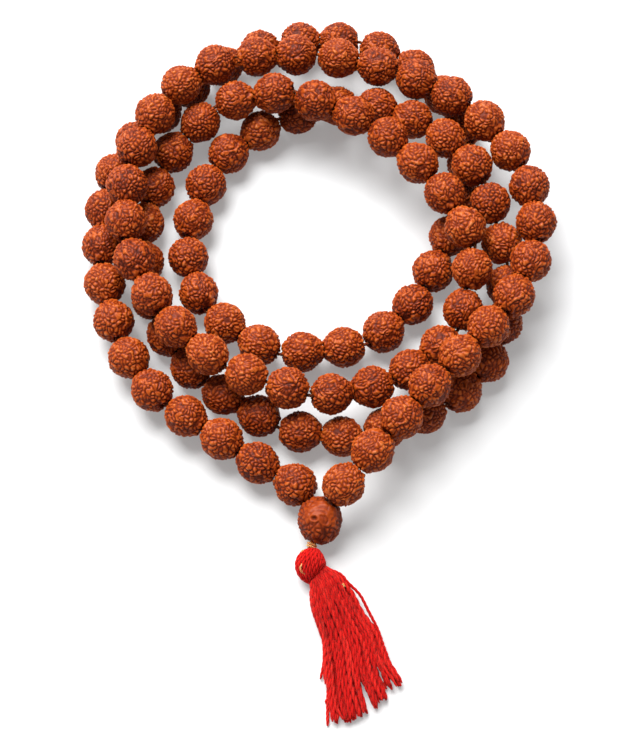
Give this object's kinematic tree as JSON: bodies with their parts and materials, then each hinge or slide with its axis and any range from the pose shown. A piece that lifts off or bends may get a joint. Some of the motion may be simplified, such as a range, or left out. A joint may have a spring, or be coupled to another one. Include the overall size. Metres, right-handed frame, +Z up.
{
  "type": "mala prayer beads",
  "caption": "Strand of knobbly rudraksha seed beads on one thread, laid down in turns, closed by a guru bead and a red cotton tassel.",
  "frame": {"origin": "middle of the outline of the strand and tassel, on the surface they lie on", "axes": "+Z up, the tassel points towards -Y, the strand's turns lie flat in X and Y"},
  "size_m": [0.0906, 0.1408, 0.0161],
  "materials": {
    "rudraksha_seed": "oiled, knobbly",
    "thread": "twisted cotton",
    "red_yarn": "soft twisted cotton yarn"
  },
  "bodies": {
    "strand": {"string": "thread", "guru_bead": "rudraksha_seed"},
    "beads_01": {"beads_01": "rudraksha_seed"},
    "beads_02": {"beads_02": "rudraksha_seed"},
    "beads_03": {"beads_03": "rudraksha_seed"},
    "beads_04": {"beads_04": "rudraksha_seed"},
    "beads_05": {"beads_05": "rudraksha_seed"},
    "beads_06": {"beads_06": "rudraksha_seed"},
    "beads_07": {"beads_07": "rudraksha_seed"},
    "beads_08": {"beads_08": "rudraksha_seed"},
    "beads_09": {"beads_09": "rudraksha_seed"},
    "beads_10": {"beads_10": "rudraksha_seed"},
    "beads_11": {"beads_11": "rudraksha_seed"},
    "beads_12": {"beads_12": "rudraksha_seed"},
    "beads_13": {"beads_13": "rudraksha_seed"},
    "beads_14": {"beads_14": "rudraksha_seed"},
    "beads_15": {"beads_15": "rudraksha_seed"},
    "beads_16": {"beads_16": "rudraksha_seed"},
    "beads_17": {"beads_17": "rudraksha_seed"},
    "beads_18": {"beads_18": "rudraksha_seed"},
    "beads_19": {"beads_19": "rudraksha_seed"},
    "beads_20": {"beads_20": "rudraksha_seed"},
    "beads_21": {"beads_21": "rudraksha_seed"},
    "beads_22": {"beads_22": "rudraksha_seed"},
    "beads_23": {"beads_23": "rudraksha_seed"},
    "beads_24": {"beads_24": "rudraksha_seed"},
    "beads_25": {"beads_25": "rudraksha_seed"},
    "beads_26": {"beads_26": "rudraksha_seed"},
    "beads_27": {"beads_27": "rudraksha_seed"},
    "beads_28": {"beads_28": "rudraksha_seed"},
    "beads_29": {"beads_29": "rudraksha_seed"},
    "beads_30": {"beads_30": "rudraksha_seed"},
    "beads_31": {"beads_31": "rudraksha_seed"},
    "beads_32": {"beads_32": "rudraksha_seed"},
    "beads_33": {"beads_33": "rudraksha_seed"},
    "beads_34": {"beads_34": "rudraksha_seed"},
    "beads_35": {"beads_35": "rudraksha_seed"},
    "beads_36": {"beads_36": "rudraksha_seed"},
    "beads_37": {"beads_37": "rudraksha_seed"},
    "beads_38": {"beads_38": "rudraksha_seed"},
    "beads_39": {"beads_39": "rudraksha_seed"},
    "beads_40": {"beads_40": "rudraksha_seed"},
    "beads_41": {"beads_41": "rudraksha_seed"},
    "beads_42": {"beads_42": "rudraksha_seed"},
    "beads_43": {"beads_43": "rudraksha_seed"},
    "beads_44": {"beads_44": "rudraksha_seed"},
    "beads_45": {"beads_45": "rudraksha_seed"},
    "beads_46": {"beads_46": "rudraksha_seed"},
    "beads_47": {"beads_47": "rudraksha_seed"},
    "beads_48": {"beads_48": "rudraksha_seed"},
    "beads_49": {"beads_49": "rudraksha_seed"},
    "beads_50": {"beads_50": "rudraksha_seed"},
    "beads_51": {"beads_51": "rudraksha_seed"},
    "beads_52": {"beads_52": "rudraksha_seed"},
    "beads_53": {"beads_53": "rudraksha_seed"},
    "beads_54": {"beads_54": "rudraksha_seed"},
    "tassel_neck": {"tassel_neck": "thread"},
    "tassel": {"tassel_head": "red_yarn", "tassel_binding": "red_yarn", "tassel_skirt": "red_yarn"}
  },
  "joints": [
    {"name": "beads_01_spin", "type": "hinge", "parent": "strand", "child": "beads_01", "pos_m": [0.00733, -0.0255, 0.0096], "axis": [0.6476, 0.7382, 0.1891], "continuous": true},
    {"name": "beads_02_spin", "type": "hinge", "parent": "strand", "child": "beads_02", "pos_m": [0.01787, -0.01348, 0.01189], "axis": [0.6607, 0.7486, 0.0556], "continuous": true},
    {"name": "beads_03_spin", "type": "hinge", "parent": "strand", "child": "beads_03", "pos_m": [0.02883, -0.0016, 0.01195], "axis": [0.6745, 0.7377, -0.0282], "continuous": true},
    {"name": "beads_04_spin", "type": "hinge", "parent": "strand", "child": "beads_04", "pos_m": [0.03823, 0.01141, 0.01147], "axis": [0.4284, 0.9032, -0.0255], "continuous": true},
    {"name": "beads_05_spin", "type": "hinge", "parent": "strand", "child": "beads_05", "pos_m": [0.04081, 0.02698, 0.01106], "axis": [-0.1317, 0.9912, -0.0146], "continuous": true},
    {"name": "beads_06_spin", "type": "hinge", "parent": "strand", "child": "beads_06", "pos_m": [0.03452, 0.04153, 0.01135], "axis": [-0.6032, 0.7969, 0.033], "continuous": true},
    {"name": "beads_07_spin", "type": "hinge", "parent": "strand", "child": "beads_07", "pos_m": [0.0226, 0.05219, 0.01121], "axis": [-0.8552, 0.5149, -0.0597], "continuous": true},
    {"name": "beads_08_spin", "type": "hinge", "parent": "strand", "child": "beads_08", "pos_m": [0.00784, 0.05848, 0.0102], "axis": [-0.9659, 0.255, -0.0456], "continuous": true},
    {"name": "beads_09_spin", "type": "hinge", "parent": "strand", "child": "beads_09", "pos_m": [-0.00814, 0.05982, 0.01034], "axis": [-0.9958, -0.0777, 0.0493], "continuous": true},
    {"name": "beads_10_spin", "type": "hinge", "parent": "strand", "child": "beads_10", "pos_m": [-0.02326, 0.05514, 0.011], "axis": [-0.8275, -0.5612, 0.0141], "continuous": true},
    {"name": "beads_11_spin", "type": "hinge", "parent": "strand", "child": "beads_11", "pos_m": [-0.03313, 0.04279, 0.01101], "axis": [-0.4071, -0.9134, 0.0006], "continuous": true},
    {"name": "beads_12_spin", "type": "hinge", "parent": "strand", "child": "beads_12", "pos_m": [-0.03635, 0.02716, 0.01128], "axis": [0.0042, -0.9997, 0.0258], "continuous": true},
    {"name": "beads_13_spin", "type": "hinge", "parent": "strand", "child": "beads_13", "pos_m": [-0.03272, 0.01164, 0.01159], "axis": [0.4345, -0.9005, 0.0164], "continuous": true},
    {"name": "beads_14_spin", "type": "hinge", "parent": "strand", "child": "beads_14", "pos_m": [-0.02327, -0.00126, 0.01157], "axis": [0.7425, -0.6692, -0.0313], "continuous": true},
    {"name": "beads_15_spin", "type": "hinge", "parent": "strand", "child": "beads_15", "pos_m": [-0.00933, -0.00895, 0.01046], "axis": [0.9487, -0.301, -0.0967], "continuous": true},
    {"name": "beads_16_spin", "type": "hinge", "parent": "strand", "child": "beads_16", "pos_m": [0.00631, -0.00997, 0.00844], "axis": [0.9559, 0.2403, -0.1689], "continuous": true},
    {"name": "beads_17_spin", "type": "hinge", "parent": "strand", "child": "beads_17", "pos_m": [0.02007, -0.00246, 0.00587], "axis": [0.7482, 0.6562, -0.0979], "continuous": true},
    {"name": "beads_18_spin", "type": "hinge", "parent": "strand", "child": "beads_18", "pos_m": [0.02819, 0.01047, 0.00845], "axis": [0.2124, 0.9095, 0.3572], "continuous": true},
    {"name": "beads_19_spin", "type": "hinge", "parent": "strand", "child": "beads_19", "pos_m": [0.02591, 0.02539, 0.01183], "axis": [-0.4709, 0.8816, 0.031], "continuous": true},
    {"name": "beads_20_spin", "type": "hinge", "parent": "strand", "child": "beads_20", "pos_m": [0.01633, 0.03828, 0.01165], "axis": [-0.7, 0.7135, -0.0302], "continuous": true},
    {"name": "beads_21_spin", "type": "hinge", "parent": "strand", "child": "beads_21", "pos_m": [0.0032, 0.04745, 0.01158], "axis": [-0.9115, 0.4112, 0.01], "continuous": true},
    {"name": "beads_22_spin", "type": "hinge", "parent": "strand", "child": "beads_22", "pos_m": [-0.01221, 0.05067, 0.01032], "axis": [-0.9696, -0.0797, -0.2315], "continuous": true},
    {"name": "beads_23_spin", "type": "hinge", "parent": "strand", "child": "beads_23", "pos_m": [-0.0256, 0.04426, 0.00566], "axis": [-0.6682, -0.7039, -0.2408], "continuous": true},
    {"name": "beads_24_spin", "type": "hinge", "parent": "strand", "child": "beads_24", "pos_m": [-0.03256, 0.03021, 0.00411], "axis": [-0.2189, -0.9757, -0.0118], "continuous": true},
    {"name": "beads_25_spin", "type": "hinge", "parent": "strand", "child": "beads_25", "pos_m": [-0.03241, 0.01427, 0.00395], "axis": [0.2201, -0.9755, -0.0006], "continuous": true},
    {"name": "beads_26_spin", "type": "hinge", "parent": "strand", "child": "beads_26", "pos_m": [-0.0261, -0.00042, 0.00399], "axis": [0.5743, -0.8186, 0.0036], "continuous": true},
    {"name": "beads_27_spin", "type": "hinge", "parent": "strand", "child": "beads_27", "pos_m": [-0.01429, -0.01119, 0.004], "axis": [0.8472, -0.5313, 0], "continuous": true},
    {"name": "beads_28_spin", "type": "hinge", "parent": "strand", "child": "beads_28", "pos_m": [0.00059, -0.0169, 0.004], "axis": [0.993, -0.1185, 0], "continuous": true},
    {"name": "beads_29_spin", "type": "hinge", "parent": "strand", "child": "beads_29", "pos_m": [0.01622, -0.01426, 0.004], "axis": [0.9245, 0.3811, 0], "continuous": true},
    {"name": "beads_30_spin", "type": "hinge", "parent": "strand", "child": "beads_30", "pos_m": [0.02936, -0.00532, 0.00398], "axis": [0.6464, 0.763, -0.0062], "continuous": true},
    {"name": "beads_31_spin", "type": "hinge", "parent": "strand", "child": "beads_31", "pos_m": [0.03539, 0.00923, 0.00409], "axis": [0.1303, 0.9909, 0.0343], "continuous": true},
    {"name": "beads_32_spin", "type": "hinge", "parent": "strand", "child": "beads_32", "pos_m": [0.034, 0.02451, 0.008], "axis": [-0.267, 0.9022, 0.3388], "continuous": true},
    {"name": "beads_33_spin", "type": "hinge", "parent": "strand", "child": "beads_33", "pos_m": [0.02701, 0.03839, 0.0107], "axis": [-0.6173, 0.7824, -0.0826], "continuous": true},
    {"name": "beads_34_spin", "type": "hinge", "parent": "strand", "child": "beads_34", "pos_m": [0.01504, 0.04847, 0.00773], "axis": [-0.8665, 0.4509, -0.214], "continuous": true},
    {"name": "beads_35_spin", "type": "hinge", "parent": "strand", "child": "beads_35", "pos_m": [-0.00012, 0.05096, 0.00453], "axis": [-0.975, -0.1677, -0.1455], "continuous": true},
    {"name": "beads_36_spin", "type": "hinge", "parent": "strand", "child": "beads_36", "pos_m": [-0.01437, 0.04415, 0.00395], "axis": [-0.7721, -0.6355, 0], "continuous": true},
    {"name": "beads_37_spin", "type": "hinge", "parent": "strand", "child": "beads_37", "pos_m": [-0.0229, 0.0309, 0.00413], "axis": [-0.2869, -0.9578, 0.0191], "continuous": true},
    {"name": "beads_38_spin", "type": "hinge", "parent": "strand", "child": "beads_38", "pos_m": [-0.02371, 0.01515, 0.0045], "axis": [0.2677, -0.9631, 0.0266], "continuous": true},
    {"name": "beads_39_spin", "type": "hinge", "parent": "strand", "child": "beads_39", "pos_m": [-0.01424, 0.00278, 0.00493], "axis": [0.8308, -0.5562, 0.0191], "continuous": true},
    {"name": "beads_40_spin", "type": "hinge", "parent": "strand", "child": "beads_40", "pos_m": [0.00098, -0.00024, 0.00466], "axis": [0.9881, 0.1464, -0.047], "continuous": true},
    {"name": "beads_41_spin", "type": "hinge", "parent": "strand", "child": "beads_41", "pos_m": [0.01515, 0.00647, 0.00403], "axis": [0.7072, 0.7067, -0.0202], "continuous": true},
    {"name": "beads_42_spin", "type": "hinge", "parent": "strand", "child": "beads_42", "pos_m": [0.02363, 0.02002, 0.00395], "axis": [0.3956, 0.9184, 0.0001], "continuous": true},
    {"name": "beads_43_spin", "type": "hinge", "parent": "strand", "child": "beads_43", "pos_m": [0.02845, 0.03539, 0.00399], "axis": [0.1777, 0.9841, 0.0009], "continuous": true},
    {"name": "beads_44_spin", "type": "hinge", "parent": "strand", "child": "beads_44", "pos_m": [0.02654, 0.051, 0.00395], "axis": [-0.4274, 0.9041, 0.0004], "continuous": true},
    {"name": "beads_45_spin", "type": "hinge", "parent": "strand", "child": "beads_45", "pos_m": [0.01574, 0.06237, 0.00452], "axis": [-0.8781, 0.4744, 0.0624], "continuous": true},
    {"name": "beads_46_spin", "type": "hinge", "parent": "strand", "child": "beads_46", "pos_m": [0.00034, 0.06635, 0.00483], "axis": [-0.9989, 0.0252, -0.0402], "continuous": true},
    {"name": "beads_47_spin", "type": "hinge", "parent": "strand", "child": "beads_47", "pos_m": [-0.01519, 0.06305, 0.00408], "axis": [-0.8944, -0.4462, -0.0304], "continuous": true},
    {"name": "beads_48_spin", "type": "hinge", "parent": "strand", "child": "beads_48", "pos_m": [-0.02804, 0.05344, 0.00395], "axis": [-0.7125, -0.7017, 0], "continuous": true},
    {"name": "beads_49_spin", "type": "hinge", "parent": "strand", "child": "beads_49", "pos_m": [-0.03776, 0.04068, 0.00405], "axis": [-0.4471, -0.8942, 0.0238], "continuous": true},
    {"name": "beads_50_spin", "type": "hinge", "parent": "strand", "child": "beads_50", "pos_m": [-0.04126, 0.02515, 0.00468], "axis": [-0.0187, -0.9988, 0.0463], "continuous": true},
    {"name": "beads_51_spin", "type": "hinge", "parent": "strand", "child": "beads_51", "pos_m": [-0.03951, 0.00916, 0.00524], "axis": [0.2447, -0.9692, 0.0258], "continuous": true},
    {"name": "beads_52_spin", "type": "hinge", "parent": "strand", "child": "beads_52", "pos_m": [-0.03312, -0.00551, 0.00547], "axis": [0.5767, -0.8169, -0.0015], "continuous": true},
    {"name": "beads_53_spin", "type": "hinge", "parent": "strand", "child": "beads_53", "pos_m": [-0.02111, -0.01606, 0.00515], "axis": [0.833, -0.5522, -0.0354], "continuous": true},
    {"name": "beads_54_spin", "type": "hinge", "parent": "strand", "child": "beads_54", "pos_m": [-0.00755, -0.02482, 0.00428], "axis": [0.8542, -0.5153, -0.0686], "continuous": true},
    {"name": "tassel_sway", "type": "hinge", "parent": "strand", "child": "tassel_neck", "pos_m": [-0.00075, -0.03791, 0.00346], "axis": [0, 0, 1], "range_deg": [-40, 30]},
    {"name": "tassel_lift", "type": "hinge", "parent": "tassel_neck", "child": "tassel", "pos_m": [-0.00096, -0.03866, 0.00332], "axis": [-0.9834, -0.1815, 0], "range_deg": [0, 40]}
  ]
}
